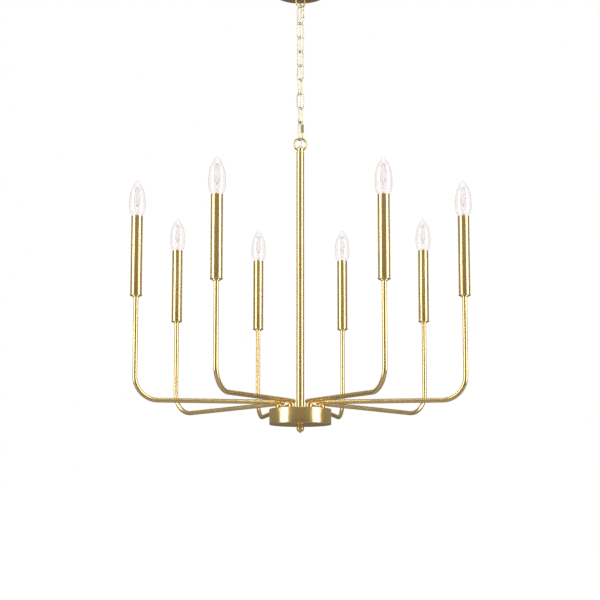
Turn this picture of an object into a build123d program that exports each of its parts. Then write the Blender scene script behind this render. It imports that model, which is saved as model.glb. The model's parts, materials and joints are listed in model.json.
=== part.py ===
from build123d import *
import os
from math import cos, radians, sin, tan

# Multi arm candle chandelier that hangs from a ceiling box on a short chain.
# Millimetres, +Z up. The origin is the middle of the strap on the ceiling face,
# so everything hangs below z = 0. The front of the object faces -Y.
# Angles of studs and arms are taken about Z from the front, positive to the +X side.
# Links, the loop and the ring lie in the XZ plane and turn about Z, anticlockwise from above.

# ---- ceiling fittings
STRAP_LENGTH = 112.0
STRAP_WIDTH = 20.0
STRAP_THICKNESS = 2.0
SLOT_SPACING = 88.9
SLOT_WIDTH = 4.4
SLOT_LENGTH = 12.0
STRAP_DROP = 9.0  # how far the middle of the strap hangs below its ends
STRAP_MIDDLE = 40.0
CANOPY_DIAMETER = 127.0
CANOPY_DEPTH = 28.0
CANOPY_WALL = 0.9
CANOPY_EDGE = 9.0
NIPPLE_DIAMETER = 10.0
NIPPLE_BORE = 6.0
NIPPLE_STAND = 4.0  # how far the nipple stands above its lock nut
LOCK_NUT_FLATS = 14.0
LOCK_NUT_HEIGHT = 3.0
GROUND_SCREW_DIAMETER = 4.0
GROUND_SCREW_LENGTH = 7.0
GROUND_HEAD_DIAMETER = 8.0
GROUND_HEAD_HEIGHT = 2.0
GROUND_SCREW_PLACE = 14.0

# ---- canopy loop
LOOP_WIRE = 3.6
LOOP_WIDTH = 29.2
LOOP_TURN = 42.0
LOOP_COLLAR_DIAMETER = 22.0
LOOP_COLLAR_HEIGHT = 9.0
LOOP_INSIDE_DROP = 28.9  # from the canopy's underside to the loop's inside bottom

# ---- quick links and chain
QUICK_WIRE = 3.5
QUICK_INNER_LENGTH = 39.6
QUICK_SPACING = 16.0  # between the middles of its two side wires
QUICK_GAP = 5.6
LINK_NUT_LENGTH = 18.3
LINK_NUT_FLATS = 6.3
UPPER_NUT_RISE = 0.9  # the nut's middle above the link's middle
LOWER_NUT_RISE = 3.3
LINK_WIRE = 3.1
LINK_INNER_LENGTH = 33.07
LINK_SPACING = 16.6
UPPER_QUICK_TURN = -40.0
LINK_TURNS = (32.0, -43.0, 39.0, -37.0, 58.0, -27.0, 60.0)
LOWER_QUICK_TURN = -56.0

# ---- hang ring and the cap it holds
RING_DIAMETER = 32.0
RING_WIRE = 4.5
RING_TURN = 8.0
CAP_DIAMETER = 14.4
CAP_HEIGHT = 13.2
CAP_SPIGOT = 8.0
CAP_SCREW_DIAMETER = 3.0
CAP_SCREW_DEPTH = 3.2
CAP_SCREW_RISE = 6.4  # above the rod's top
RING_HOLE_RISE = 3.65  # the ring wire's lowest middle above the rod's top

# ---- rods
ROD_DIAMETER = 17.0
ROD_WALL = 1.0
ROD_LENGTH = 289.3
ROD_EDGE = 0.4
COUPLER_LENGTH = 44.0
COUPLER_BORE = 9.0
FOOT_BUSH_LENGTH = 16.0

# ---- hub
HUB_DIAMETER = 136.0
HUB_HEIGHT = 34.3
HUB_WALL = 1.2
HUB_EDGE = 1.6
COVER_THICKNESS = 1.5
HUB_NIPPLE_DIAMETER = 10.0
HUB_NIPPLE_BORE = 6.5
FINIAL_NECK = 14.6
FINIAL_WAIST = 10.6
FINIAL_BALL = 16.6
FINIAL_HEIGHT = 17.8
FINIAL_TIP = 4.4
SPLICE_CAP_DIAMETER = 9.0
SPLICE_CAP_LENGTH = 20.0

# ---- arms
ARM_PAIRS = 4
STUD_CIRCLE = 50.0  # radius of the ring of pivots
ARM_REACH = 325.0  # from pivot to upright
ARM_TURNS = (4.4, 0.5, 18.0, 7.4)  # swivelled from straight out, front pair to back pair
ARM_TUBE = 10.0
ARM_WALL = 1.0
ARM_BEND = 50.0
ARM_HEEL = 14.0  # how far the arm runs past its pivot
ARM_DROOP = 6.8
ARM_RISE = 13.9  # tube middle above the hub's top, at the pivot
COLLAR_DIAMETER = 15.6
COLLAR_WAIST = 12.4
STUD_DIAMETER = 8.0
STUD_BORE = 5.0
PIVOT_NUT_FLATS = 13.0
PIVOT_NUT_HEIGHT = 4.0
WASHER_DIAMETER = 15.0
WASHER_THICKNESS = 1.2
STUD_STAND = 2.0  # how far the stud stands below its nut

# ---- candles
SLEEVE_DIAMETER = 24.2
SLEEVE_WALL = 0.6
SLEEVE_LENGTH = 169.4
SLEEVE_FOOT_RISE = 230.1  # the sleeve's foot above the hub's top
DISH_DIAMETER = 26.2
DISH_THICKNESS = 2.0
DISH_BOSS = 16.5
DISH_BOSS_HEIGHT = 2.4
DISH_SPIGOT_HEIGHT = 4.0
HOLDER_GAP = 1.5  # between the holder and the sleeve around it
HOLDER_LENGTH = 32.0
HOLDER_DROP = 4.5  # the holder's mouth below the sleeve's top
HOLDER_MOUTH = 12.4
HOLDER_DEPTH = 23.0
HOLDER_PLUG = 8.0

# ---- bulbs
BULB_HEIGHT = 77.5
BULB_GAP = 0.9  # between the glass and the sleeve's rim
BULB_GLASS = 0.8
INSIDE_STEPS = 12  # how finely the inside of the glass follows the outside
BULB_NECK = 6.0
BULB_BASE = 11.8
BULB_BASE_LENGTH = 15.0
BULB_TIP = 6.0
BULB_TIP_LENGTH = 2.0
# (radius, height over the sleeve's top) from just under the tip down to just over the rim
BULB_OUTLINE = (
    (6.2, 71.3),
    (10.6, 63.3),
    (13.8, 55.3),
    (16.2, 45.0),
    (17.4, 32.0),
    (17.2, 17.0),
    (14.8, 7.3),
)

# ---- power cord
CORD_DIAMETER = 3.0
CORD_HOLE = 4.8
# The cord's own route, woven from the canopy loop down the chain into the cap
CORD_POINTS = (
    (0.0, 0.0, -32.0),
    (-0.6, -1.5, -46.0),
    (0.2, -6.3, -57.0),
    (0.6, -2.2, -72.0),
    (0.1, -2.2, -84.0),
    (0.9, -6.3, -96.5),
    (0.3, -5.7, -113.0),
    (0.0, -5.6, -129.6),
    (-0.7, 0.3, -145.0),
    (0.2, 5.4, -161.0),
    (0.6, 5.8, -178.0),
    (-0.7, 5.6, -195.0),
    (0.4, -0.2, -211.0),
    (0.9, -6.5, -228.0),
    (-0.1, -6.3, -245.0),
    (1.2, -6.3, -261.5),
    (0.4, -0.3, -278.0),
    (-1.8, 5.9, -295.0),
    (-0.7, 7.1, -311.0),
    (-0.4, 7.5, -328.0),
    (2.3, 3.8, -344.0),
    (4.0, 4.6, -358.0),
    (3.8, 5.2, -371.0),
    (1.0, 4.6, -382.0),
    (0.0, 4.4, -392.0),
    (0.0, 4.4, -404.0),
)

# ---- clearances
RUNNING_FIT = 0.06  # round piece that turns or slides in its hole, on the radius
SEATED_FIT = 0.04  # round piece that stays in its hole, on the radius
LOOSE_FIT = 0.3  # curved faces that move past each other
LINK_FIT = 0.2  # between chain wires that hang on each other


def column(diameter, low, high, x=0.0, y=0.0):
    """A round bar standing between two heights."""
    bar = Cylinder(diameter / 2, high - low, align=(Align.CENTER, Align.CENTER, Align.MIN))
    return Pos(x, y, low) * bar


def pipe(outer, inner, low, high):
    """A straight round tube standing between two heights."""
    return column(outer, low, high) - column(inner, low, high)


def nut(flats, bore, low, high):
    """A hexagon nut with its faces flat at two heights."""
    hexagon = extrude(RegularPolygon(flats / 2, 6, major_radius=False), amount=high - low)
    return Pos(0, 0, low) * hexagon - column(bore, low, high)


def turned(outline):
    """A piece turned on the Z axis from an outline of curves in the XZ plane."""
    return revolve(make_face(outline), Axis.Z, 360)


def heading(angle):
    """The turn about Z that faces +X towards an angle from the front."""
    return Rot(0, 0, angle - 90)


def place(radius, angle):
    """The point at a radius and an angle from the front."""
    return radius * sin(radians(angle)), -radius * cos(radians(angle))


def write(name, *solids):
    """Writes one sub-part as a STEP file."""
    shape = solids[0] if len(solids) == 1 else Compound(children=list(solids))
    export_step(shape, f"parts/{name}.step")


# ---- heights that follow from the sizes above
CANOPY_UNDERSIDE = -CANOPY_DEPTH
LOOP_HANG = CANOPY_UNDERSIDE - LOOP_INSIDE_DROP
CHAIN_TOP = LOOP_HANG - QUICK_INNER_LENGTH
CHAIN_FOOT = CHAIN_TOP - len(LINK_TURNS) * LINK_INNER_LENGTH
RING_HANG = CHAIN_FOOT - QUICK_INNER_LENGTH
RING_RADIUS = (RING_DIAMETER - RING_WIRE) / 2
RING_MIDDLE = RING_HANG - RING_RADIUS + RING_WIRE / 2
ROD_TOP = RING_MIDDLE - RING_RADIUS - RING_HOLE_RISE
ROD_SEAM = ROD_TOP - ROD_LENGTH
HUB_TOP = ROD_SEAM - ROD_LENGTH
HUB_BOTTOM = HUB_TOP - HUB_HEIGHT
ARM_AXIS = HUB_TOP + ARM_RISE
SLEEVE_FOOT = HUB_TOP + SLEEVE_FOOT_RISE
SLEEVE_TOP = SLEEVE_FOOT + SLEEVE_LENGTH
ROD_BORE = ROD_DIAMETER - 2 * ROD_WALL
ARM_BORE = ARM_TUBE - 2 * ARM_WALL
SLEEVE_BORE = SLEEVE_DIAMETER - 2 * SLEEVE_WALL
HOLDER_DIAMETER = SLEEVE_BORE - 2 * HOLDER_GAP


# ---- ceiling fittings
def strap_profile(width):
    """The hat-shaped side of the strap, drawn out to a width."""
    low = -STRAP_DROP - STRAP_THICKNESS
    half, end = STRAP_MIDDLE / 2, STRAP_LENGTH / 2
    step = Polyline(
        (-end, 0),
        (-half, 0),
        (-half + STRAP_THICKNESS, -STRAP_DROP),
        (half - STRAP_THICKNESS, -STRAP_DROP),
        (half, 0),
        (end, 0),
        (end, -STRAP_THICKNESS),
        (half + STRAP_THICKNESS, -STRAP_THICKNESS),
        (half, low),
        (-half, low),
        (-half - STRAP_THICKNESS, -STRAP_THICKNESS),
        (-end, -STRAP_THICKNESS),
        close=True,
    )
    return extrude(Plane.XZ * make_face(step), amount=width / 2, both=True)


def make_ceiling_fittings():
    web = -STRAP_DROP
    strap = strap_profile(STRAP_WIDTH)
    slot = extrude(SlotOverall(SLOT_LENGTH, SLOT_WIDTH), amount=2 * STRAP_THICKNESS, both=True)
    for side in (-1, 1):
        strap -= Pos(side * SLOT_SPACING / 2, 0, 0) * slot
    strap -= column(NIPPLE_DIAMETER + 2 * SEATED_FIT, web - 2 * STRAP_THICKNESS, 0)
    screw_hole = GROUND_SCREW_DIAMETER + 2 * SEATED_FIT
    strap -= column(screw_hole, web - 2 * STRAP_THICKNESS, 0, GROUND_SCREW_PLACE)
    write("ceiling_strap", strap)

    head_top = web - STRAP_THICKNESS
    head = column(GROUND_HEAD_DIAMETER, head_top - GROUND_HEAD_HEIGHT, head_top, GROUND_SCREW_PLACE)
    shank_top = head_top + GROUND_SCREW_LENGTH
    shank = column(GROUND_SCREW_DIAMETER, head_top - GROUND_HEAD_HEIGHT, shank_top, GROUND_SCREW_PLACE)
    drive = Box(GROUND_HEAD_DIAMETER, 1.0, 1.0)
    screw = head + shank - Pos(GROUND_SCREW_PLACE, 0, head_top - GROUND_HEAD_HEIGHT) * drive
    write("ground_screw", screw)

    lock_low, lock_high = web, web + LOCK_NUT_HEIGHT
    write("strap_lock_nut", nut(LOCK_NUT_FLATS, NIPPLE_DIAMETER + 2 * SEATED_FIT, lock_low, lock_high))
    nipple_foot = CANOPY_UNDERSIDE - LOOP_COLLAR_HEIGHT * 0.6
    write("canopy_nipple", pipe(NIPPLE_DIAMETER, NIPPLE_BORE, nipple_foot, lock_high + NIPPLE_STAND))

    outside = column(CANOPY_DIAMETER, CANOPY_UNDERSIDE, 0)
    outside = fillet(outside.edges().group_by(Axis.Z)[0], CANOPY_EDGE)
    inside = column(CANOPY_DIAMETER - 2 * CANOPY_WALL, CANOPY_UNDERSIDE + CANOPY_WALL, 1)
    inside = fillet(inside.edges().group_by(Axis.Z)[0], CANOPY_EDGE - CANOPY_WALL)
    hole = column(NIPPLE_DIAMETER + 2 * SEATED_FIT, CANOPY_UNDERSIDE - 1, 0)
    write("canopy", outside - inside - hole)

    make_canopy_loop(nipple_foot)


def bend(radius, wire):
    """Half a ring of round wire in the XZ plane, above its centre."""
    return Rot(90, 0, 0) * Torus(radius, wire / 2, major_angle=180, align=None)


def make_canopy_loop(nipple_foot):
    radius = (LOOP_WIDTH - LOOP_WIRE) / 2
    collar_foot = CANOPY_UNDERSIDE - LOOP_COLLAR_HEIGHT
    arc_middle = LOOP_HANG - LOOP_WIRE / 2 + radius
    loop = column(LOOP_COLLAR_DIAMETER, collar_foot, CANOPY_UNDERSIDE)
    loop = fillet(loop.edges().group_by(Axis.Z)[0], 2.0)
    loop += Pos(0, 0, arc_middle) * Rot(180, 0, 0) * bend(radius, LOOP_WIRE)
    shoulder = collar_foot + 3.0
    for side in (-1, 1):
        loop += column(LOOP_WIRE, arc_middle, shoulder, side * radius)
        loop += Pos(side * radius, 0, shoulder) * Sphere(LOOP_WIRE / 2)
    loop += Pos(0, 0, shoulder) * Rot(0, 90, 0) * Cylinder(LOOP_WIRE / 2, 2 * radius)
    loop -= column(NIPPLE_DIAMETER + 2 * SEATED_FIT, nipple_foot, CANOPY_UNDERSIDE)
    loop -= column(CORD_HOLE, collar_foot - 1, CANOPY_UNDERSIDE)
    write("canopy_loop", Rot(0, 0, LOOP_TURN) * loop)


# ---- quick links and chain
def oval_link(spacing, inner_length, wire):
    """A closed oval of round wire in the XZ plane, centred on the origin."""
    radius = spacing / 2
    straight = (inner_length + wire) / 2 - radius
    oval = Pos(0, 0, straight) * bend(radius, wire)
    oval += Pos(0, 0, -straight) * Rot(180, 0, 0) * bend(radius, wire)
    for side in (-1, 1):
        oval += column(wire, -straight, straight, side * radius)
    return oval


def make_quick_link(prefix, hang, turn, nut_rise):
    """A quick link that hangs at a height, with its nut screwed over the gap."""
    side = QUICK_SPACING / 2
    middle = hang - QUICK_INNER_LENGTH / 2
    nut_top = nut_rise + LINK_NUT_LENGTH / 2
    gap_top = nut_top - 1.4
    oval = oval_link(QUICK_SPACING, QUICK_INNER_LENGTH + LINK_FIT, QUICK_WIRE)
    oval -= column(2 * QUICK_WIRE, gap_top - QUICK_GAP, gap_top, side)
    spin = Pos(0, 0, middle) * Rot(0, 0, turn)
    write(f"{prefix}_quick_link", spin * oval)
    bore = QUICK_WIRE + 2 * RUNNING_FIT
    sleeve = nut(LINK_NUT_FLATS, bore, nut_top - LINK_NUT_LENGTH, nut_top)
    write(f"{prefix}_link_nut", spin * Pos(side, 0, 0) * sleeve)


def make_chain():
    make_quick_link("upper", LOOP_HANG, UPPER_QUICK_TURN, UPPER_NUT_RISE)
    link = oval_link(LINK_SPACING, LINK_INNER_LENGTH + LINK_FIT, LINK_WIRE)
    links = []
    for number, turn in enumerate(LINK_TURNS):
        middle = CHAIN_TOP - (number + 0.5) * LINK_INNER_LENGTH
        links.append(Pos(0, 0, middle) * Rot(0, 0, turn) * link)
    write("chain_links", *links)
    make_quick_link("lower", CHAIN_FOOT, LOWER_QUICK_TURN, LOWER_NUT_RISE)


def fillet_radii(points):
    """The largest arc that each corner of a route has room for."""
    radii = []
    for before, here, after in zip(points, points[1:], points[2:]):
        run_in, run_out = Vector(*here) - Vector(*before), Vector(*after) - Vector(*here)
        turn = radians(run_in.get_angle(run_out))
        radii.append(0.45 * min(run_in.length, run_out.length) / tan(turn / 2))
    return radii


def make_cord():
    radii = fillet_radii(CORD_POINTS)
    path = FilletPolyline(*CORD_POINTS, radius=radii)
    section = Plane(origin=path @ 0, z_dir=path % 0) * Circle(CORD_DIAMETER / 2)
    cord = sweep(section, path=path)
    print("cord length", round(path.length, 1), "tightest bend", round(min(radii), 1))
    print("cord radii", [round(radius) for radius in radii])
    print("cord volume over section times length", cord.volume / section.area / path.length)
    write("power_cord", cord)


# ---- ring, cap and rods
def make_ring_and_cap():
    spin = Pos(0, 0, RING_MIDDLE) * Rot(0, 0, RING_TURN) * Rot(90, 0, 0)
    write("hang_ring", spin * Torus(RING_RADIUS, RING_WIRE / 2))

    radius = CAP_DIAMETER / 2
    cap = column(CAP_DIAMETER, ROD_TOP, ROD_TOP + CAP_HEIGHT - radius)
    cap += Pos(0, 0, ROD_TOP + CAP_HEIGHT - radius) * Sphere(radius)
    cap += column(ROD_BORE - 2 * SEATED_FIT, ROD_TOP - CAP_SPIGOT, ROD_TOP)
    cap -= spin * Torus(RING_RADIUS, RING_WIRE / 2 + LOOSE_FIT)
    entry = CORD_POINTS[-1]
    cap -= column(CORD_HOLE, ROD_TOP - CAP_SPIGOT - 1, ROD_TOP + CAP_HEIGHT, entry[0], entry[1])
    screw_height = ROD_TOP + CAP_SCREW_RISE
    drill = Plane(origin=(0, -radius - 1, screw_height), z_dir=(0, 1, 0))
    screw_hole = extrude(drill * Circle(CAP_SCREW_DIAMETER / 2 + SEATED_FIT), amount=CAP_SCREW_DEPTH + 1)
    write("hang_cap", cap - screw_hole)
    seat = Plane(origin=(0, CAP_SCREW_DEPTH - radius, screw_height), z_dir=(0, -1, 0))
    screw = extrude(seat * Circle(CAP_SCREW_DIAMETER / 2), amount=CAP_SCREW_DEPTH - 1)
    socket = extrude(seat * RegularPolygon(0.75, 6), amount=CAP_SCREW_DEPTH)
    screw -= Pos(0, -0.8, 0) * socket
    write("cap_set_screw", screw)


def make_rods():
    for name, foot in (("upper_rod", ROD_SEAM), ("lower_rod", HUB_TOP)):
        rod = column(ROD_DIAMETER, foot, foot + ROD_LENGTH)
        rod = chamfer(rod.edges().group_by(Axis.Z)[0] + rod.edges().group_by(Axis.Z)[-1], ROD_EDGE)
        write(name, rod - column(ROD_BORE, foot, foot + ROD_LENGTH))
    fitted = ROD_BORE - 2 * SEATED_FIT
    half = COUPLER_LENGTH / 2
    write("rod_coupler", pipe(fitted, COUPLER_BORE, ROD_SEAM - half, ROD_SEAM + half))
    bush_bore = HUB_NIPPLE_DIAMETER + 2 * SEATED_FIT
    write("rod_foot_bush", pipe(fitted, bush_bore, HUB_TOP, HUB_TOP + FOOT_BUSH_LENGTH))


# ---- hub
def make_hub():
    nipple_hole = HUB_NIPPLE_DIAMETER + 2 * SEATED_FIT
    shell = column(HUB_DIAMETER, HUB_BOTTOM, HUB_TOP)
    rims = shell.edges().group_by(Axis.Z)[0] + shell.edges().group_by(Axis.Z)[-1]
    shell = fillet(rims, HUB_EDGE)
    hollow = column(HUB_DIAMETER - 2 * HUB_WALL, HUB_BOTTOM + COVER_THICKNESS, HUB_TOP - HUB_WALL)
    recess = column(HUB_DIAMETER - 4 * HUB_WALL, HUB_BOTTOM - 1, HUB_BOTTOM + COVER_THICKNESS)
    shell -= hollow + recess + column(nipple_hole, HUB_BOTTOM, HUB_TOP)
    for angle in stud_angles():
        x, y = place(STUD_CIRCLE, angle)
        shell -= column(STUD_DIAMETER + 2 * RUNNING_FIT, HUB_BOTTOM + COVER_THICKNESS, HUB_TOP, x, y)
    write("hub_shell", shell)

    cover_diameter = HUB_DIAMETER - 4 * HUB_WALL - 2 * LOOSE_FIT
    cover = pipe(cover_diameter, nipple_hole, HUB_BOTTOM, HUB_BOTTOM + COVER_THICKNESS)
    write("hub_cover", cover)

    nipple_foot = HUB_BOTTOM - FINIAL_HEIGHT * 0.45
    nipple = pipe(HUB_NIPPLE_DIAMETER, HUB_NIPPLE_BORE, nipple_foot, HUB_TOP + FOOT_BUSH_LENGTH - 1)
    write("hub_nipple", nipple)
    under_top = HUB_TOP - HUB_WALL
    on_cover = HUB_BOTTOM + COVER_THICKNESS
    write(
        "hub_lock_nuts",
        nut(LOCK_NUT_FLATS, nipple_hole, under_top - LOCK_NUT_HEIGHT, under_top),
        nut(LOCK_NUT_FLATS, nipple_hole, on_cover, on_cover + LOCK_NUT_HEIGHT),
    )
    make_finial(nipple_foot)

    caps = []
    for side in (-1, 1):
        cap = Rot(0, 90, 0) * Cylinder(SPLICE_CAP_DIAMETER / 2, SPLICE_CAP_LENGTH)
        rise = on_cover + SPLICE_CAP_DIAMETER / 2
        caps.append(Pos(side * 4, side * 22, rise) * Rot(0, 0, side * 20) * cap)
    write("splice_caps", *caps)


def make_finial(nipple_foot):
    ball = FINIAL_BALL / 2
    ball_middle = HUB_BOTTOM - FINIAL_HEIGHT + ball + 1.2
    waist_height = HUB_BOTTOM - 3.4
    neck = Line((0, HUB_BOTTOM), (FINIAL_NECK / 2, HUB_BOTTOM))
    drop = (waist_height - ball_middle) / ball
    join = ball * (1 - drop * drop) ** 0.5
    curve = Spline(
        (FINIAL_NECK / 2, HUB_BOTTOM),
        (FINIAL_WAIST / 2, (HUB_BOTTOM + waist_height) / 2),
        (join, waist_height),
    )
    round_side = ThreePointArc((join, waist_height), (ball, ball_middle), (0, ball_middle - ball))
    middle = Line((0, ball_middle - ball), (0, HUB_BOTTOM))
    finial = turned(Plane.XZ * (neck + curve + round_side + middle))
    finial += column(FINIAL_TIP, HUB_BOTTOM - FINIAL_HEIGHT, ball_middle)
    write("finial", finial - column(HUB_NIPPLE_DIAMETER + 2 * SEATED_FIT, nipple_foot, HUB_BOTTOM))


# ---- arms
def stud_angles():
    """The pivots' angles from the front, up the right side and back down the left."""
    step = 360 / (2 * ARM_PAIRS)
    right = [step * (pair + 0.5) for pair in range(ARM_PAIRS)]
    return right + [-angle for angle in reversed(right)]


def arm_angles():
    """The arms' own directions, in the same order as their pivots."""
    turns = list(ARM_TURNS) + [-turn for turn in reversed(ARM_TURNS)]
    return [stud + turn for stud, turn in zip(stud_angles(), turns)]


def barrel(height):
    """A collar with a round bulging side, standing from zero."""
    half = height / 2
    side = ThreePointArc((COLLAR_WAIST / 2, 0), (COLLAR_DIAMETER / 2, half), (COLLAR_WAIST / 2, height))
    rest = Polyline((COLLAR_WAIST / 2, height), (0, height), (0, 0), (COLLAR_WAIST / 2, 0))
    bore = column(STUD_DIAMETER + 2 * RUNNING_FIT, -1, height + 1)
    return turned(Plane.XZ * (side + rest)) - bore


def make_pivots():
    collar_height = ARM_RISE - ARM_TUBE / 2 - LOOSE_FIT
    stud_hole = STUD_DIAMETER + 2 * RUNNING_FIT
    under_top = HUB_TOP - HUB_WALL
    washer_foot = under_top - WASHER_THICKNESS
    collars, washers, nuts = [], [], []
    for angle in stud_angles():
        x, y = place(STUD_CIRCLE, angle)
        spot = Pos(x, y, 0)
        collars.append(Pos(x, y, HUB_TOP) * barrel(collar_height))
        washers.append(spot * pipe(WASHER_DIAMETER, stud_hole, washer_foot, under_top))
        nuts.append(spot * nut(PIVOT_NUT_FLATS, stud_hole, washer_foot - PIVOT_NUT_HEIGHT, washer_foot))
    write("pivot_collars", *collars)
    write("pivot_washers", *washers)
    write("pivot_nuts", *nuts)


def arm_tube(diameter, path, heel_point):
    """A round bar that follows the arm's path, with a round end at its heel."""
    start = Plane(origin=path @ 0, z_dir=path % 0)
    return sweep(start * Circle(diameter / 2), path=path) + Pos(*heel_point) * Sphere(diameter / 2)


def make_arm():
    """One arm with its stud and candle dish; its pivot is at x = 0 and it points along +X."""
    fall = ARM_DROOP / ARM_REACH
    heel = (-ARM_HEEL + ARM_TUBE / 2, 0, ARM_AXIS + fall * (ARM_HEEL - ARM_TUBE / 2))
    corner = (ARM_REACH, 0, ARM_AXIS - ARM_DROOP)
    top = (ARM_REACH, 0, SLEEVE_TOP - HOLDER_DROP - HOLDER_LENGTH)
    path = FilletPolyline(heel, corner, top, radius=ARM_BEND)
    stud_foot = HUB_TOP - HUB_WALL - WASHER_THICKNESS - PIVOT_NUT_HEIGHT - STUD_STAND
    arm = arm_tube(ARM_TUBE, path, heel) + column(STUD_DIAMETER, stud_foot, ARM_AXIS)
    arm = arm - arm_tube(ARM_BORE, path, heel) - column(STUD_BORE, stud_foot - 1, ARM_AXIS)

    hole = ARM_TUBE + 2 * SEATED_FIT
    spigot = SLEEVE_BORE - 2 * SEATED_FIT
    rim_foot = SLEEVE_FOOT - DISH_THICKNESS
    dish = column(DISH_DIAMETER, rim_foot, SLEEVE_FOOT)
    dish = chamfer(dish.edges().group_by(Axis.Z)[0], 0.8)
    dish += column(DISH_BOSS, rim_foot - DISH_BOSS_HEIGHT, rim_foot)
    dish += column(spigot, SLEEVE_FOOT, SLEEVE_FOOT + DISH_SPIGOT_HEIGHT)
    dish = fillet(dish.edges().group_by(Axis.Z)[0], 1.6)
    dish -= column(hole, rim_foot - DISH_BOSS_HEIGHT - 1, SLEEVE_FOOT + DISH_SPIGOT_HEIGHT + 1)
    return arm, Pos(ARM_REACH, 0, 0) * dish


def make_candle():
    """The sleeve and the lampholder, on the Z axis."""
    sleeve = pipe(SLEEVE_DIAMETER, SLEEVE_BORE, SLEEVE_FOOT, SLEEVE_TOP)
    mouth = SLEEVE_TOP - HOLDER_DROP
    holder = column(HOLDER_DIAMETER, mouth - HOLDER_LENGTH, mouth)
    holder = chamfer(holder.edges().group_by(Axis.Z)[-1], 0.8)
    foot = mouth - HOLDER_LENGTH
    holder += column(ARM_BORE - 2 * SEATED_FIT, foot - HOLDER_PLUG, foot)
    holder -= column(HOLDER_MOUTH, mouth - HOLDER_DEPTH, mouth + 1)
    return sleeve, holder


def bulb_glass(foot):
    """The bulb's glass, turned on the Z axis from its outline and the same line set in by its wall."""
    ends = ((1, 0), (-0.4, -1))
    tip, neck = (0, BULB_HEIGHT), (BULB_NECK, -HOLDER_DROP + 0.5)
    under_tip, throat = (0, BULB_HEIGHT - BULB_GLASS), (BULB_NECK - BULB_GLASS, neck[1])
    rim = (SLEEVE_BORE / 2 - BULB_GAP, 0)
    outer = Spline(tip, *BULB_OUTLINE, rim, neck, tangents=ends)
    inside = []
    for step in range(1, INSIDE_STEPS):
        spot, way = outer @ (step / INSIDE_STEPS), outer % (step / INSIDE_STEPS)
        inside.append((spot.X + BULB_GLASS * way.Y, spot.Y - BULB_GLASS * way.X))
    inner = Spline(under_tip, *inside, throat, tangents=ends)
    mouth = Polyline(neck, (neck[0], foot), (throat[0], foot), throat)
    return turned(Plane.XZ * (outer + mouth + inner + Line(under_tip, tip)))


def make_bulb():
    """The bulb's glass and its screw base, on the Z axis."""
    glass_foot = -HOLDER_DROP - 0.5
    glass = bulb_glass(glass_foot)
    base_foot = glass_foot - BULB_BASE_LENGTH
    base = column(BULB_BASE, base_foot, glass_foot)
    base = chamfer(base.edges().group_by(Axis.Z)[0], 1.5)
    base += column(BULB_TIP, base_foot - BULB_TIP_LENGTH, base_foot)
    up = Pos(0, 0, SLEEVE_TOP)
    return up * glass, up * base


def make_arms():
    arm, dish = make_arm()
    sleeve, holder = make_candle()
    glass, base = make_bulb()
    for number, (stud, angle) in enumerate(zip(stud_angles(), arm_angles()), 1):
        x, y = place(STUD_CIRCLE, stud)
        pivot = Pos(x, y, 0) * heading(angle)
        upright = pivot * Pos(ARM_REACH, 0, 0)
        write(f"arm_{number}", pivot * arm, pivot * dish)
        write(f"candle_sleeve_{number}", upright * sleeve)
        write(f"lampholder_{number}", upright * holder)
        write(f"bulb_{number}", upright * glass, upright * base)


os.makedirs("parts", exist_ok=True)
make_ceiling_fittings()
make_chain()
make_cord()
make_ring_and_cap()
make_rods()
make_hub()
make_pivots()
make_arms()
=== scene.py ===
import bpy
import bmesh
import json
from math import atan2, cos, degrees, pi, radians, sin, sqrt, tan
from mathutils import Matrix, Vector


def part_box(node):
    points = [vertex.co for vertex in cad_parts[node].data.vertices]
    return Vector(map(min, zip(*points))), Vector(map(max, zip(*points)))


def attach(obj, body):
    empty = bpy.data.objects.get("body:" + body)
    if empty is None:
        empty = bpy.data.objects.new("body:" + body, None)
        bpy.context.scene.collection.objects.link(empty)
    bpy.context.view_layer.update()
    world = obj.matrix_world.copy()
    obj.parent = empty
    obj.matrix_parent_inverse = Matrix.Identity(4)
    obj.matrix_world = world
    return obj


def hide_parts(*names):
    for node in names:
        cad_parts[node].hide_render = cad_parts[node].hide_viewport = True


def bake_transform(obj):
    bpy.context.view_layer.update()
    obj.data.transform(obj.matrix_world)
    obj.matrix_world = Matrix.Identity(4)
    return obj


# Multi arm candle chandelier in satin gold with clear candle bulbs, built over the
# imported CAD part. Metres, +Z up, the ceiling at z = 0 and the front facing -Y.

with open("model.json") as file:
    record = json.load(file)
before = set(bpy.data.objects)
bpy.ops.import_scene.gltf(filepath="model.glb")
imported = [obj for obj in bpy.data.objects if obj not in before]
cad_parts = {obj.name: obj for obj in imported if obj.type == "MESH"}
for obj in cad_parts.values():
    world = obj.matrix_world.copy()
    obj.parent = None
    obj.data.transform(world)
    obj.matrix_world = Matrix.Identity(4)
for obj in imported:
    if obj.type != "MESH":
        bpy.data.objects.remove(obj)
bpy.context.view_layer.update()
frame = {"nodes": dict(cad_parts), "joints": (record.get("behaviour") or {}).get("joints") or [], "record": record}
scene = bpy.context.scene
MM = 0.001

# ---- sizes that the boxes of the CAD nodes don't give, in millimetres
CANOPY_EDGE, CANOPY_WALL, CANOPY_HOLE = 9.0, 0.9, 5.0
LOOP_WIRE, LOOP_RADIUS, LOOP_TURN = 3.6, 12.8, 42.0
LOOP_COLLAR, COLLAR_HEIGHT, COLLAR_EDGE = 11.0, 9.0, 2.0
SHOULDER_RISE, SHOULDER_IN = 3.0, 2.0  # where the loop's ends turn into its collar
QUICK_WIRE, QUICK_RADIUS, QUICK_GAP = 3.5, 8.0, 5.6
NUT_FLATS, NUT_OVER_GAP, NUT_EDGE, NUT_GAP = 6.3, 1.4, 0.35, 0.1
LINK_WIRE, LINK_RADIUS, LINK_FIT = 3.1, 8.3, 0.2
UPPER_QUICK_TURN, LOWER_QUICK_TURN = -40.0, -56.0
LINK_TURNS = (32.0, -43.0, 39.0, -37.0, 58.0, -27.0, 60.0)
RING_WIRE, RING_TURN = 4.5, 8.0
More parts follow.
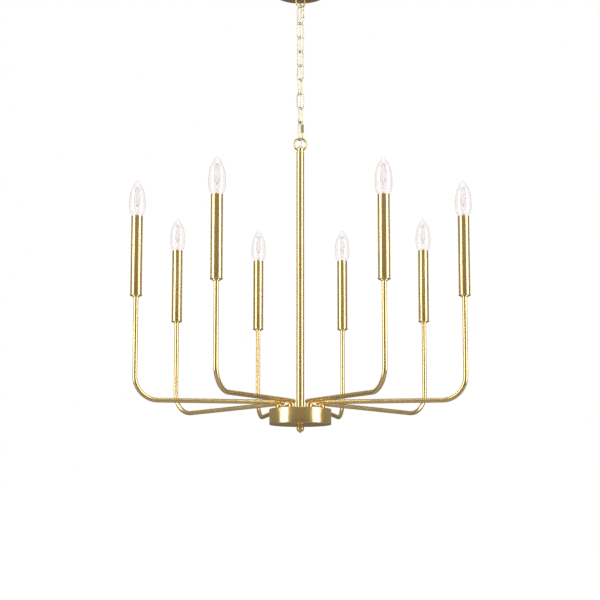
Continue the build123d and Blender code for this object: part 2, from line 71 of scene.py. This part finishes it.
ROD_EDGE, ROD_WALL = 0.5, 1.0
HUB_WALL, HUB_EDGE, HUB_HOLE = 1.2, 1.6, 5.0
COVER_RIM, COVER_THICKNESS, COVER_EDGE = 2.4, 1.5, 0.3
FINIAL_BALL_RISE = 1.2  # the ball's foot over the tip's
# (radius, depth under the hub) of the finial's neck and waist
FINIAL_NECK = ((0.0, 0.0), (7.3, 0.0), (7.2, 0.5), (5.9, 1.2), (5.3, 2.2), (5.6, 3.1))
BARREL_WAIST, BARREL_BELLY, BARREL_STEPS = 6.2, 7.8, 14
TUBE_RADIUS, ARM_BEND, ARM_RISE = 5.0, 50.0, 13.9
ARM_FALL = 6.8 / 325.0  # how much an arm drops for each millimetre outwards
HEEL_BACK = 9.0  # the middle of the arm's round end, behind its pivot
TUBE_IN_SLEEVE = 40.0
STUD_RADIUS, STUD_EDGE = 4.0, 0.4
SLEEVE_WALL, SLEEVE_EDGE = 0.6, 0.18
DISH_RIM, DISH_THICKNESS, DISH_CHAMFER, DISH_EDGE = 1.0, 2.0, 0.8, 0.5
BOSS_RADIUS, BOSS_FOOT, DISH_BORE = 8.25, 4.4, 4.9
SPIGOT_IN, SPIGOT_HEIGHT = 0.7, 4.0
CORD_DIAMETER = 3.0
TAIL_POINTS = 4  # how many of the cord's points are past the chain
# The cord's own route, woven from the canopy loop down the chain into the cap
CORD_POINTS = (
    (0.0, 0.0, -32.0), (-0.6, -1.5, -46.0), (0.2, -6.3, -57.0), (0.6, -2.2, -72.0),
    (0.1, -2.2, -84.0), (0.9, -6.3, -96.5), (0.3, -5.7, -113.0), (0.0, -5.6, -129.6),
    (-0.7, 0.3, -145.0), (0.2, 5.4, -161.0), (0.6, 5.8, -178.0), (-0.7, 5.6, -195.0),
    (0.4, -0.2, -211.0), (0.9, -6.5, -228.0), (-0.1, -6.3, -245.0), (1.2, -6.3, -261.5),
    (0.4, -0.3, -278.0), (-1.8, 5.9, -295.0), (-0.7, 7.1, -311.0), (-0.4, 7.5, -328.0),
    (2.3, 3.8, -344.0), (4.0, 4.6, -358.0), (3.8, 5.2, -371.0), (1.0, 4.6, -382.0),
    (0.0, 4.4, -392.0), (0.0, 4.4, -404.0),
)
# (radius, height over the sleeve's top) of a bulb, from its tip down to its neck
BULB_OUTLINE = (
    (0.0, 77.5), (6.2, 71.3), (10.6, 63.3), (13.8, 55.3), (16.2, 45.0), (17.4, 32.0),
    (17.2, 17.0), (14.8, 7.3), (10.6, 0.0), (6.0, -4.0),
)
NECK_RADIUS, NECK_FOOT, GLASS_WALL = 6.0, -5.0, 0.9
# (radius, height over the sleeve's top) of the glass stem inside a bulb
STEM_OUTLINE = (
    (0.0, 20.0), (1.6, 19.4), (1.9, 17.0), (1.5, 10.0), (1.9, 3.0), (4.6, -4.0), (5.0, -5.0), (0.0, -5.0),
)
STEM_EDGE = 1.2
# One half of a filament loop, as (distance from the middle, height over the sleeve's top)
FILAMENT_HALF = ((0.7, 18.5), (1.2, 24.0), (6.2, 30.0), (7.4, 44.0), (5.0, 58.0), (0.8, 63.5))
FILAMENT_TURNS = (20.0, 65.0, 110.0, 155.0)
FILAMENT_RADIUS, FILAMENT_EDGE = 0.16, 3.0
BASE_TIP = ((0.0, -22.5), (2.6, -22.5), (3.0, -22.0), (3.0, -20.6), (4.4, -20.5))
THREAD_FOOT, THREAD_LENGTH, THREAD_RADIUS, THREAD_DEPTH, THREADS = -19.0, 12.5, 5.6, 0.28, 6
BASE_RIM = ((5.9, -5.4), (5.9, -5.0), (0.0, -5.0))


# ---- shader groups and materials
def new_group(name, sockets):
    """An empty shader group with its output sockets, and its output node."""
    tree = bpy.data.node_groups.new(name, "ShaderNodeTree")
    for label, kind in sockets:
        tree.interface.new_socket(label, in_out="OUTPUT", socket_type=kind)
    return tree, tree.nodes.new("NodeGroupOutput")


def make_metal_surface():
    """Fine turning marks around the upright axis, and soft smudges from handling."""
    tree, out = new_group("metal_surface", (("Smudge", "NodeSocketFloat"), ("Normal", "NodeSocketVector")))
    spot = tree.nodes.new("ShaderNodeTexCoord")
    smudge = tree.nodes.new("ShaderNodeTexNoise")
    smudge.inputs["Scale"].default_value = 38.0
    smudge.inputs["Detail"].default_value = 3.0
    stretch = tree.nodes.new("ShaderNodeMapping")
    stretch.inputs["Scale"].default_value = (1.0, 1.0, 14.0)
    marks = tree.nodes.new("ShaderNodeTexNoise")
    marks.inputs["Scale"].default_value = 260.0
    marks.inputs["Detail"].default_value = 2.0
    bump = tree.nodes.new("ShaderNodeBump")
    bump.inputs["Strength"].default_value = 0.05
    bump.inputs["Distance"].default_value = 0.00002
    tree.links.new(spot.outputs["Object"], smudge.inputs["Vector"])
    tree.links.new(spot.outputs["Object"], stretch.inputs["Vector"])
    tree.links.new(stretch.outputs["Vector"], marks.inputs["Vector"])
    tree.links.new(marks.outputs["Fac"], bump.inputs["Height"])
    tree.links.new(smudge.outputs["Fac"], out.inputs["Smudge"])
    tree.links.new(bump.outputs["Normal"], out.inputs["Normal"])
    return tree


def make_moulded_surface():
    """The faint orange-peel of moulded plastic."""
    tree, out = new_group("moulded_surface", (("Patch", "NodeSocketFloat"), ("Normal", "NodeSocketVector")))
    spot = tree.nodes.new("ShaderNodeTexCoord")
    peel = tree.nodes.new("ShaderNodeTexNoise")
    peel.inputs["Scale"].default_value = 420.0
    peel.inputs["Detail"].default_value = 1.0
    bump = tree.nodes.new("ShaderNodeBump")
    bump.inputs["Strength"].default_value = 0.1
    bump.inputs["Distance"].default_value = 0.0002
    tree.links.new(spot.outputs["Object"], peel.inputs["Vector"])
    tree.links.new(peel.outputs["Fac"], bump.inputs["Height"])
    tree.links.new(peel.outputs["Fac"], out.inputs["Patch"])
    tree.links.new(bump.outputs["Normal"], out.inputs["Normal"])
    return tree


METAL_SURFACE = make_metal_surface()
MOULDED_SURFACE = make_moulded_surface()


def new_material(name):
    material = bpy.data.materials.new(name)
    material.use_nodes = True
    return material, material.node_tree, material.node_tree.nodes["Principled BSDF"]


def add_surface(tree, shader, surface, mask, smooth, rough):
    """Links a surface group's normal to the shader, and its mask to the roughness."""
    group = tree.nodes.new("ShaderNodeGroup")
    group.node_tree = surface
    spread = tree.nodes.new("ShaderNodeMapRange")
    spread.inputs["From Min"].default_value = 0.3
    spread.inputs["From Max"].default_value = 0.7
    spread.inputs["To Min"].default_value = smooth
    spread.inputs["To Max"].default_value = rough
    tree.links.new(group.outputs[mask], spread.inputs["Value"])
    tree.links.new(spread.outputs["Result"], shader.inputs["Roughness"])
    tree.links.new(group.outputs["Normal"], shader.inputs["Normal"])


def metal(name, colour, smooth, rough):
    material, tree, shader = new_material(name)
    shader.inputs["Base Color"].default_value = (*colour, 1.0)
    shader.inputs["Metallic"].default_value = 1.0
    add_surface(tree, shader, METAL_SURFACE, "Smudge", smooth, rough)
    return material


def plastic(name, colour, smooth, rough):
    material, tree, shader = new_material(name)
    shader.inputs["Base Color"].default_value = (*colour, 1.0)
    add_surface(tree, shader, MOULDED_SURFACE, "Patch", smooth, rough)
    return material


def clear(name, colour, index, roughness):
    material, tree, shader = new_material(name)
    shader.inputs["Base Color"].default_value = (*colour, 1.0)
    shader.inputs["Transmission Weight"].default_value = 1.0
    shader.inputs["IOR"].default_value = index
    shader.inputs["Roughness"].default_value = roughness
    return material


MATERIALS = {
    "satin_gold": metal("satin_gold", (0.88, 0.68, 0.33), 0.19, 0.26),
    "chain_gold": metal("chain_gold", (0.84, 0.75, 0.47), 0.18, 0.26),
    "black_holder": plastic("black_holder", (0.012, 0.012, 0.013), 0.35, 0.5),
    "clear_glass": clear("clear_glass", (0.97, 0.945, 0.94), 1.45, 0.0),
    "clear_cord": clear("clear_cord", (0.86, 0.84, 0.88), 1.42, 0.12),
    "zinc_steel": metal("zinc_steel", (0.62, 0.62, 0.6), 0.25, 0.4),
    "green_screw": metal("green_screw", (0.06, 0.3, 0.1), 0.25, 0.35),
    "splice_plastic": plastic("splice_plastic", (0.75, 0.2, 0.05), 0.3, 0.4),
}
NICKEL = metal("base_nickel", (0.72, 0.7, 0.66), 0.12, 0.2)
WIRE = metal("filament_wire", (0.32, 0.31, 0.3), 0.3, 0.4)
FROSTED = plastic("frosted_stem", (0.92, 0.91, 0.9), 0.25, 0.35)
BLACK_OXIDE = metal("black_oxide", (0.05, 0.045, 0.04), 0.35, 0.45)


# ---- building tools
def soften(points, size, steps=4):
    """An outline with each inner corner rounded off."""
    softened = [points[0]]
    for before, here, after in zip(points, points[1:], points[2:]):
        before, here, after = Vector(before), Vector(here), Vector(after)
        reach = min(size, 0.45 * (before - here).length, 0.45 * (after - here).length)
        start = here + (before - here).normalized() * reach
        end = here + (after - here).normalized() * reach
        for step in range(steps + 1):
            t = step / steps
            softened.append(tuple(start * (1 - t) ** 2 + here * 2 * t * (1 - t) + end * t * t))
    return softened + [points[-1]]


def smooth_line(points, steps):
    """A curve through an outline's points, level at the first."""
    spots = [Vector(p) for p in points]
    ways = [Vector((spots[1] - spots[0]).to_tuple())]
    ways[0].y = 0.0
    for before, after in zip(spots, spots[2:]):
        ways.append((after - before) / 2)
    ways.append(spots[-1] - spots[-2])
    line = []
    for a, b, u, v in zip(spots, spots[1:], ways, ways[1:]):
        for step in range(steps):
            t = step / steps
            line.append(tuple(a * (2 * t**3 - 3 * t**2 + 1) + u * (t**3 - 2 * t**2 + t)
                              + b * (3 * t**2 - 2 * t**3) + v * (t**3 - t**2)))
    return line + [tuple(spots[-1])]


def lathe(bm, outline, x=0.0, y=0.0, steps=72):
    """Adds an outline of (radius, height) in millimetres, turned about an upright axis."""
    verts = [bm.verts.new((x + r * MM, y, z * MM)) for r, z in outline]
    edges = [bm.edges.new(pair) for pair in zip(verts, verts[1:])]
    bmesh.ops.spin(bm, geom=verts + edges, cent=(x, y, 0.0), axis=(0.0, 0.0, 1.0),
                   angle=2 * pi, steps=steps, use_merge=True)


def arc(x, z, radius, start, end, steps):
    """Points of an arc in the XZ plane, by angles in degrees from +X towards +Z."""
    turns = [radians(start + (end - start) * step / steps) for step in range(steps + 1)]
    return [(x + radius * cos(turn), z + radius * sin(turn)) for turn in turns]


def stations(points, radius):
    return [(point, radius) for point in points]


def ways_along(spots, closed):
    """The direction of a route at each of its points."""
    ways = []
    last = len(spots) - 1
    for number in range(last + 1):
        before = spots[number - 1] if number else spots[-2 if closed else 0]
        after = spots[number + 1] if number < last else spots[1 if closed else last]
        ways.append((after - before).normalized())
    return ways


def bar(bm, route, closed=False, sides=28):
    """Adds a round bar along a route in the XZ plane: ((x, z), radius) in millimetres."""
    if closed:
        route = [*route, route[0]]
    spots = [Vector((x, 0.0, z)) * MM for (x, z), _ in route]
    across = Vector((0.0, 1.0, 0.0))
    places = []
    for spot, way, (_, radius) in zip(spots, ways_along(spots, closed), route):
        turn = Matrix((across.cross(way), across, way)).transposed().to_4x4()
        places.append(Matrix.Translation(spot) @ turn @ Matrix.Scale(radius * MM, 4))
    made = bmesh.ops.create_circle(bm, cap_ends=False, segments=sides, radius=1.0, matrix=places[0])
    added = list(made["verts"])
    first = list({edge for vert in added for edge in vert.link_edges})
    ring = first
    for before, after in zip(places, places[1:]):
        drawn = bmesh.ops.extrude_edge_only(bm, edges=ring)["geom"]
        verts = [part for part in drawn if isinstance(part, bmesh.types.BMVert)]
        edges = [part for part in drawn if isinstance(part, bmesh.types.BMEdge)]
        ring = [edge for edge in edges if all(vert in verts for vert in edge.verts)]
        bmesh.ops.transform(bm, matrix=after @ before.inverted(), verts=verts)
        added += verts
    if not closed:
        bmesh.ops.holes_fill(bm, edges=first + ring, sides=sides)
    return added


def put(bm, verts, turn, spot=(0.0, 0.0, 0.0)):
    """Turns new geometry about Z and moves it to its place."""
    bmesh.ops.transform(bm, matrix=Matrix.Translation(spot) @ Matrix.Rotation(turn, 4, "Z"), verts=verts)


def piece(name, bm, body, slot, nodes=(), material=None, sharp=38.0):
    """Makes the finished mesh an object that rides on its body."""
    bmesh.ops.remove_doubles(bm, verts=bm.verts, dist=1e-6)
    bmesh.ops.recalc_face_normals(bm, faces=bm.faces)
    mesh = bpy.data.meshes.new(name)
    bm.to_mesh(mesh)
    bm.free()
    mesh.shade_smooth()
    mesh.set_sharp_from_angle(angle=radians(sharp))
    mesh.materials.append(material or MATERIALS[slot])
    made = bpy.data.objects.new(name, mesh)
    scene.collection.objects.link(made)
    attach(made, body)
    if nodes:
        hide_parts(*nodes)
    return made


def span(node):
    """A CAD node's middle in x and y in metres, and its foot, top and half width in millimetres."""
    low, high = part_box(node)
    return (low.x + high.x) / 2, (low.y + high.y) / 2, low.z / MM, high.z / MM, (high.x - low.x) / 2 / MM


def oval(radius, half):
    """The points of an upright oval about the origin, from its right side up and round."""
    return arc(0.0, half, radius, 0, 180, 24) + arc(0.0, -half, radius, 180, 360, 24)


# ---- ceiling fittings
def make_canopy():
    _, _, foot, top, wide = span("canopy")
    edge_x, edge_z = wide - CANOPY_EDGE, foot + CANOPY_EDGE
    outer = [(CANOPY_HOLE, foot), *arc(edge_x, edge_z, CANOPY_EDGE, -90, 0, 10), (wide, top)]
    inner = [(wide - CANOPY_WALL, top), *arc(edge_x, edge_z, CANOPY_EDGE - CANOPY_WALL, 0, -90, 10)]
    inner += [(CANOPY_HOLE, foot + CANOPY_WALL), (CANOPY_HOLE, foot)]
    bm = bmesh.new()
    lathe(bm, outer + inner, steps=128)
    piece("canopy_cup", bm, "ceiling_mount", "satin_gold", ["canopy"])


def make_loop():
    _, _, foot, top, _ = span("canopy_loop")
    collar_foot = top - COLLAR_HEIGHT
    collar = [(0.0, collar_foot), (LOOP_COLLAR, collar_foot), (LOOP_COLLAR, top), (0.0, top)]
    bm = bmesh.new()
    lathe(bm, soften(collar, COLLAR_EDGE))
    middle = foot + LOOP_WIRE / 2 + LOOP_RADIUS
    shoulder = [(LOOP_RADIUS, collar_foot + 1.0), (LOOP_RADIUS - SHOULDER_IN, collar_foot + SHOULDER_RISE)]
    route = [(-x, z) for x, z in reversed(shoulder)] + arc(0.0, middle, LOOP_RADIUS, 180, 360, 32) + shoulder
    bar(bm, stations(route, LOOP_WIRE / 2))
    put(bm, bm.verts, radians(LOOP_TURN))
    piece("loop_wire", bm, "ceiling_mount", "satin_gold", ["canopy_loop"])


# ---- chain
def make_quick_link(prefix, nut_body, turn):
    _, _, foot, top, _ = span(f"{prefix}_quick_link")
    _, _, nut_foot, nut_top, _ = span(f"{prefix}_link_nut")
    middle = (foot + top) / 2
    half = (top - foot) / 2 - QUICK_WIRE / 2 - QUICK_RADIUS
    gap_top = nut_top - NUT_OVER_GAP - middle
    route = [(QUICK_RADIUS, gap_top)] + oval(QUICK_RADIUS, half) + [(QUICK_RADIUS, gap_top - QUICK_GAP)]
    bm = bmesh.new()
    bar(bm, stations(route, QUICK_WIRE / 2))
    put(bm, bm.verts, radians(turn), (0.0, 0.0, middle * MM))
    piece(f"{prefix}_link_wire", bm, "chain", "chain_gold", [f"{prefix}_quick_link"])

    corner = NUT_FLATS / 2 / cos(pi / 6)
    bore = QUICK_WIRE / 2 + NUT_GAP
    bm = bmesh.new()
    outline = [(bore, nut_foot), (corner, nut_foot), (corner, nut_top), (bore, nut_top), (bore, nut_foot)]
    lathe(bm, outline, x=QUICK_RADIUS * MM, steps=6)
    bmesh.ops.remove_doubles(bm, verts=bm.verts, dist=1e-6)
    axis = Vector((QUICK_RADIUS * MM, 0.0))
    outer_verts = [vert for vert in bm.verts if (vert.co.xy - axis).length > 3 * MM]
    outside = [edge for edge in bm.edges if all(vert in outer_verts for vert in edge.verts)]
    bmesh.ops.bevel(bm, geom=outside, offset=NUT_EDGE * MM, offset_type="OFFSET", segments=3,
                    profile=0.5, affect="EDGES", material=-1)
    put(bm, bm.verts, radians(turn))
    piece(f"{prefix}_nut_sleeve", bm, nut_body, "chain_gold", [f"{prefix}_link_nut"])


def make_chain_links():
    _, _, foot, top, _ = span("chain_links")
    pitch = (top - foot - 2 * LINK_WIRE - LINK_FIT) / len(LINK_TURNS)
    half = (pitch + LINK_FIT + LINK_WIRE) / 2 - LINK_RADIUS
    for number, turn in enumerate(LINK_TURNS):
        middle = top - LINK_WIRE - LINK_FIT / 2 - (number + 0.5) * pitch
        bm = bmesh.new()
        bar(bm, stations(oval(LINK_RADIUS, half), LINK_WIRE / 2), closed=True)
        put(bm, bm.verts, radians(turn), (0.0, 0.0, middle * MM))
        piece(f"chain_link_{number + 1}", bm, "chain", "chain_gold", ["chain_links"])


def cord_curve(name, spots):
    """A clear cord along a smooth curve with these control points, in millimetres."""
    curve = bpy.data.curves.new(name, "CURVE")
    curve.dimensions = "3D"
    curve.bevel_depth = CORD_DIAMETER / 2 * MM
    curve.bevel_resolution = 5
    curve.use_fill_caps = True
    spline = curve.splines.new("NURBS")
    spline.points.add(len(spots) - 1)
    for point, spot in zip(spline.points, spots):
        point.co = (*(Vector(spot) * MM), 1.0)
    spline.order_u = 3
    spline.use_endpoint_u = True
    spline.resolution_u = 12
    curve.materials.append(MATERIALS["clear_cord"])
    cord = bpy.data.objects.new(name, curve)
    scene.collection.objects.link(cord)
    return cord


def make_cord():
    """The cord down the chain, and its tail through the ring into the cap."""
    joining = [Vector(spot) for spot in CORD_POINTS[-TAIL_POINTS - 1:]]
    split = (joining[0] + joining[1]) / 2
    tail_spots = [split, *joining[1:]]
    cord = cord_curve("clear_power_cord", [*CORD_POINTS[:-TAIL_POINTS], split])
    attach(cord, "chain")
    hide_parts("power_cord")

    drawn = cord_curve("cord_tail_line", tail_spots)
    bpy.context.view_layer.update()
    mesh = bpy.data.meshes.new_from_object(drawn.evaluated_get(bpy.context.evaluated_depsgraph_get()))
    bpy.data.objects.remove(drawn)
    mesh.name = "clear_cord_tail"
    tail = bpy.data.objects.new("clear_cord_tail", mesh)
    scene.collection.objects.link(tail)
    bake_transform(tail)


# ---- ring and stem
def make_ring():
    _, _, foot, top, _ = span("hang_ring")
    radius = (top - foot - RING_WIRE) / 2
    bm = bmesh.new()
    bar(bm, stations(arc(0.0, 0.0, radius, 0, 360 - 360 / 64, 63), RING_WIRE / 2), closed=True)
    put(bm, bm.verts, radians(RING_TURN), (0.0, 0.0, (foot + top) / 2 * MM))
    piece("ring_wire", bm, "ring", "satin_gold", ["hang_ring"])


def make_rods():
    for node in ("upper_rod", "lower_rod"):
        x, y, foot, top, wide = span(node)
        bm = bmesh.new()
        bore = wide - ROD_WALL
        outline = soften([(bore, foot), (wide, foot), (wide, top), (bore, top)], ROD_EDGE)
        lathe(bm, outline + [(bore, foot)], x, y, 96)
        piece(f"{node}_tube", bm, "stem", "satin_gold", [node])


def make_hub():
    _, _, foot, top, wide = span("hub_shell")
    bm = bmesh.new()
    edge, recess, inside = wide - HUB_EDGE, wide - COVER_RIM, wide - HUB_WALL
    outer = [(HUB_HOLE, top), *arc(edge, top - HUB_EDGE, HUB_EDGE, 90, 0, 6)]
    outer += [*arc(edge, foot + HUB_EDGE, HUB_EDGE, 0, -90, 6), (recess, foot)]
    inner = [(recess, foot + COVER_THICKNESS), (inside, foot + COVER_THICKNESS), (inside, top - HUB_WALL)]
    inner += [(HUB_HOLE, top - HUB_WALL), (HUB_HOLE, top)]
    lathe(bm, outer + inner, steps=160)
    piece("hub_drum", bm, "stem", "satin_gold", ["hub_shell"])

    _, _, foot, top, wide = span("hub_cover")
    bm = bmesh.new()
    plate = [(HUB_HOLE, foot), (wide, foot), (wide, top), (HUB_HOLE, top)]
    lathe(bm, soften(plate, COVER_EDGE) + [(HUB_HOLE, foot)], steps=160)
    piece("hub_cover_plate", bm, "stem", "satin_gold", ["hub_cover"])


def make_finial():
    _, _, foot, top, ball = span("finial")
    middle = foot + ball + FINIAL_BALL_RISE
    outline = [(radius, top - depth) for radius, depth in FINIAL_NECK]
    outline += arc(0.0, middle, ball, 42.0, -74.0, 26)
    outline += [(2.2, foot + 0.5), (1.8, foot), (0.0, foot)]
    bm = bmesh.new()
    lathe(bm, outline)
    piece("finial_knob", bm, "stem", "satin_gold", ["finial"])


def joint_spot(name):
    """Where a joint is, in the row frame."""
    return next(Vector(joint["pos_m"]) for joint in frame["joints"] if joint["name"] == name)


def make_collars():
    _, _, foot, top, _ = span("pivot_collars")
    bulge = []
    for step in range(BARREL_STEPS + 1):
        share = step / BARREL_STEPS
        swell = 1 - (2 * share - 1) ** 2
        bulge.append((BARREL_WAIST + (BARREL_BELLY - BARREL_WAIST) * swell, foot + (top - foot) * share))
    bm = bmesh.new()
    for number in range(1, 9):
        spot = joint_spot(f"arm_{number}_swivel")
        outline = [(STUD_RADIUS, foot), *bulge, (STUD_RADIUS, top), (STUD_RADIUS, foot)]
        lathe(bm, outline, spot.x, spot.y, 48)
    piece("collar_barrels", bm, "stem", "satin_gold", ["pivot_collars"])


# ---- arms
def arm_route(reach, axis, top):
    """An arm's middle line from its round end to a height up its sleeve, with its radius at each point."""
    lean = atan2(ARM_FALL, 1.0)
    heel = Vector((-HEEL_BACK, axis + ARM_FALL * HEEL_BACK))
    outwards = Vector((cos(lean), -sin(lean)))
    route = []
    for step in range(9):
        turn = radians(86 * (1 - step / 8))
        route.append((heel - outwards * TUBE_RADIUS * sin(turn), TUBE_RADIUS * cos(turn)))
    leg = ARM_BEND * tan((pi / 2 + lean) / 2)
    corner = Vector((reach, axis - reach * ARM_FALL))
    start = corner - outwards * leg
    route += stations([heel.lerp(start, step / 25) for step in range(1, 25)], TUBE_RADIUS)
    bend = arc(reach - ARM_BEND, corner.y + leg, ARM_BEND, -90 - degrees(lean), 0, 28)
    foot = bend[-1][1]
    upright = [(reach, foot + (top - foot) * step / 8) for step in range(1, 9)]
    return route + stations(bend + upright, TUBE_RADIUS)


def dish_outline(wide, foot):
    """The candle dish under a sleeve: its boss, its rim and the spigot inside the sleeve."""
    rim, under, spigot = wide + DISH_RIM, foot - DISH_THICKNESS, wide - SPIGOT_IN
    return [
        (DISH_BORE, foot - BOSS_FOOT),
        (BOSS_RADIUS, foot - BOSS_FOOT),
        (BOSS_RADIUS, under),
        (rim - DISH_CHAMFER, under),
        (rim, under + DISH_CHAMFER),
        (rim, foot),
        (spigot, foot),
        (spigot, foot + SPIGOT_HEIGHT),
        (DISH_BORE, foot + SPIGOT_HEIGHT),
    ]


def make_arm(number):
    """An arm with its stud and dish, then its sleeve and its bulb."""
    pivot = joint_spot(f"arm_{number}_swivel")
    x, y, sleeve_foot, sleeve_top, wide = span(f"candle_sleeve_{number}")
    stud_foot = span(f"arm_{number}")[2]
    hub_top = span("pivot_collars")[2]
    reach = sqrt((x - pivot.x) ** 2 + (y - pivot.y) ** 2) / MM
    axis = hub_top + ARM_RISE
    bm = bmesh.new()
    bar(bm, arm_route(reach, axis, sleeve_foot + TUBE_IN_SLEEVE), sides=36)
    stud = [(0.0, stud_foot), (STUD_RADIUS - 0.3, stud_foot), (STUD_RADIUS, stud_foot + STUD_EDGE)]
    lathe(bm, stud + [(STUD_RADIUS, axis), (0.0, axis)], steps=36)
    lathe(bm, soften(dish_outline(wide, sleeve_foot), DISH_EDGE, 3), reach * MM, 0.0, 72)
    put(bm, bm.verts, atan2(y - pivot.y, x - pivot.x), (pivot.x, pivot.y, 0.0))
    piece(f"arm_tube_{number}", bm, f"arm_body_{number}", "satin_gold", [f"arm_{number}"])

    bore = wide - SLEEVE_WALL
    sleeve = [(bore, sleeve_foot), (wide, sleeve_foot), (wide, sleeve_top), (bore, sleeve_top)]
    bm = bmesh.new()
    lathe(bm, soften(sleeve, SLEEVE_EDGE, 3) + [(bore, sleeve_foot)], x, y, 96)
    piece(f"sleeve_tube_{number}", bm, f"arm_body_{number}", "satin_gold", [f"candle_sleeve_{number}"])
    make_bulb(number, x, y, sleeve_top)


def base_outline():
    """The screw base of a bulb, with its thread as plain rings."""
    outline = list(BASE_TIP)
    steps = 8 * THREADS
    for step in range(steps + 1):
        radius = THREAD_RADIUS + THREAD_DEPTH * cos(step * pi / 4)
        outline.append((radius, THREAD_FOOT + THREAD_LENGTH * step / steps))
    return outline + list(BASE_RIM)


def make_bulb(number, x, y, rim):
    """The bulb's shell, its glass stem, its filaments and its screw base."""
    body = f"bulb_body_{number}"

    def turned(outline, steps):
        bm = bmesh.new()
        lathe(bm, [(radius, rim + height) for radius, height in outline], x, y, steps)
        return bm

    shell = smooth_line(BULB_OUTLINE, 6) + [(NECK_RADIUS, NECK_FOOT)]
    glass = piece(f"bulb_glass_{number}", turned(shell, 64), body, "clear_glass", [f"bulb_{number}"])
    wall = glass.modifiers.new("wall", "SOLIDIFY")
    wall.thickness = GLASS_WALL * MM
    wall.offset = -1.0
    stem = turned(soften(STEM_OUTLINE, STEM_EDGE), 32)
    piece(f"bulb_stem_{number}", stem, body, "clear_glass", material=FROSTED)

    bm = bmesh.new()
    filament = [*FILAMENT_HALF, *((-reach, height) for reach, height in reversed(FILAMENT_HALF))]
    for turn in FILAMENT_TURNS:
        put(bm, bar(bm, stations(soften(filament, FILAMENT_EDGE), FILAMENT_RADIUS), sides=6), radians(turn))
    put(bm, bm.verts, 0.0, (x, y, rim * MM))
    piece(f"bulb_wires_{number}", bm, body, "zinc_steel", material=WIRE)
    piece(f"bulb_base_{number}", turned(base_outline(), 40), body, "zinc_steel", material=NICKEL)


# ---- what is seen as the CAD part has it
def finish_cad_nodes():
    for entry in frame["record"]["subparts"]:
        node = frame["nodes"][entry["node"]]
        node.data.materials.clear()
        node.data.materials.append(MATERIALS[entry["material_slot"]])
    frame["nodes"]["cap_set_screw"].data.materials[0] = BLACK_OXIDE


# ---- studio
FLOOR_HEIGHT, FLOOR_HALF = -1.9, 60.0
LIGHT_AIM = -0.55
CAMERA_PLACE = (0.0, -3.1117, -1.2505)
CAMERA_PITCH = 7.276


def softbox(name, azimuth, distance, height, wide, tall, power):
    """A lit panel at an azimuth from the front, facing the object."""
    light = bpy.data.lights.new(name, "AREA")
    light.shape = "RECTANGLE"
    light.size, light.size_y = wide, tall
    light.energy = power
    lamp = bpy.data.objects.new(name, light)
    turn = radians(azimuth)
    lamp.location = (distance * sin(turn), -distance * cos(turn), height)
    lamp.rotation_euler = (Vector((0.0, 0.0, LIGHT_AIM)) - lamp.location).to_track_quat("-Z", "Y").to_euler()
    lamp.visible_camera = False
    scene.collection.objects.link(lamp)


def make_world():
    world = bpy.data.worlds.new("studio")
    scene.world = world
    world.use_nodes = True
    tree = world.node_tree
    shader = tree.nodes["Background"]
    shader.inputs["Color"].default_value = (0.3, 0.27, 0.22, 1.0)
    shader.inputs["Strength"].default_value = 1.0
    white = tree.nodes.new("ShaderNodeBackground")
    white.inputs["Color"].default_value = (1.0, 1.0, 1.0, 1.0)
    path = tree.nodes.new("ShaderNodeLightPath")
    seen = tree.nodes.new("ShaderNodeMath")
    seen.operation = "MAXIMUM"
    mix = tree.nodes.new("ShaderNodeMixShader")
    tree.links.new(path.outputs["Is Camera Ray"], seen.inputs[0])
    tree.links.new(path.outputs["Is Transmission Ray"], seen.inputs[1])
    tree.links.new(seen.outputs["Value"], mix.inputs["Fac"])
    tree.links.new(shader.outputs["Background"], mix.inputs[1])
    tree.links.new(white.outputs["Background"], mix.inputs[2])
    tree.links.new(mix.outputs["Shader"], tree.nodes["World Output"].inputs["Surface"])


def make_studio():
    bm = bmesh.new()
    place = Matrix.Translation((0.0, 0.0, FLOOR_HEIGHT))
    bmesh.ops.create_grid(bm, x_segments=1, y_segments=1, size=FLOOR_HALF, matrix=place)
    mesh = bpy.data.meshes.new("floor")
    bm.to_mesh(mesh)
    bm.free()
    material, tree, shader = new_material("floor_white")
    shader.inputs["Base Color"].default_value = (0.45, 0.44, 0.42, 1.0)
    shader.inputs["Roughness"].default_value = 0.9
    shader.inputs["Emission Color"].default_value = (1.0, 1.0, 1.0, 1.0)
    path = tree.nodes.new("ShaderNodeLightPath")
    seen = tree.nodes.new("ShaderNodeMath")
    seen.operation = "MAXIMUM"
    tree.links.new(path.outputs["Is Camera Ray"], seen.inputs[0])
    tree.links.new(path.outputs["Is Transmission Ray"], seen.inputs[1])
    tree.links.new(seen.outputs["Value"], shader.inputs["Emission Strength"])
    mesh.materials.append(material)
    floor = bpy.data.objects.new("floor", mesh)
    scene.collection.objects.link(floor)

    softbox("left_panel", -62.0, 2.6, 0.0, 1.3, 3.2, 50.0)
    softbox("right_panel", 62.0, 2.6, 0.0, 1.3, 3.2, 50.0)
    softbox("top_panel", 0.0, 0.6, 1.9, 1.6, 1.6, 14.0)
    make_world()


def make_camera():
    data = bpy.data.cameras.new("camera")
    data.lens = 85.42
    data.shift_x = -0.0005
    data.shift_y = 0.09
    camera = bpy.data.objects.new("camera", data)
    camera.location = CAMERA_PLACE
    camera.rotation_euler = (radians(90.0 + CAMERA_PITCH), 0.0, 0.0)
    scene.collection.objects.link(camera)
    scene.camera = camera
    scene.view_settings.view_transform = "Standard"


make_camera()
make_studio()
finish_cad_nodes()
make_canopy()
make_loop()
make_quick_link("upper", "upper_nut", UPPER_QUICK_TURN)
make_quick_link("lower", "lower_nut", LOWER_QUICK_TURN)
make_chain_links()
make_cord()
make_ring()
make_rods()
make_hub()
make_finial()
make_collars()
for arm_number in range(1, 9):
    make_arm(arm_number)
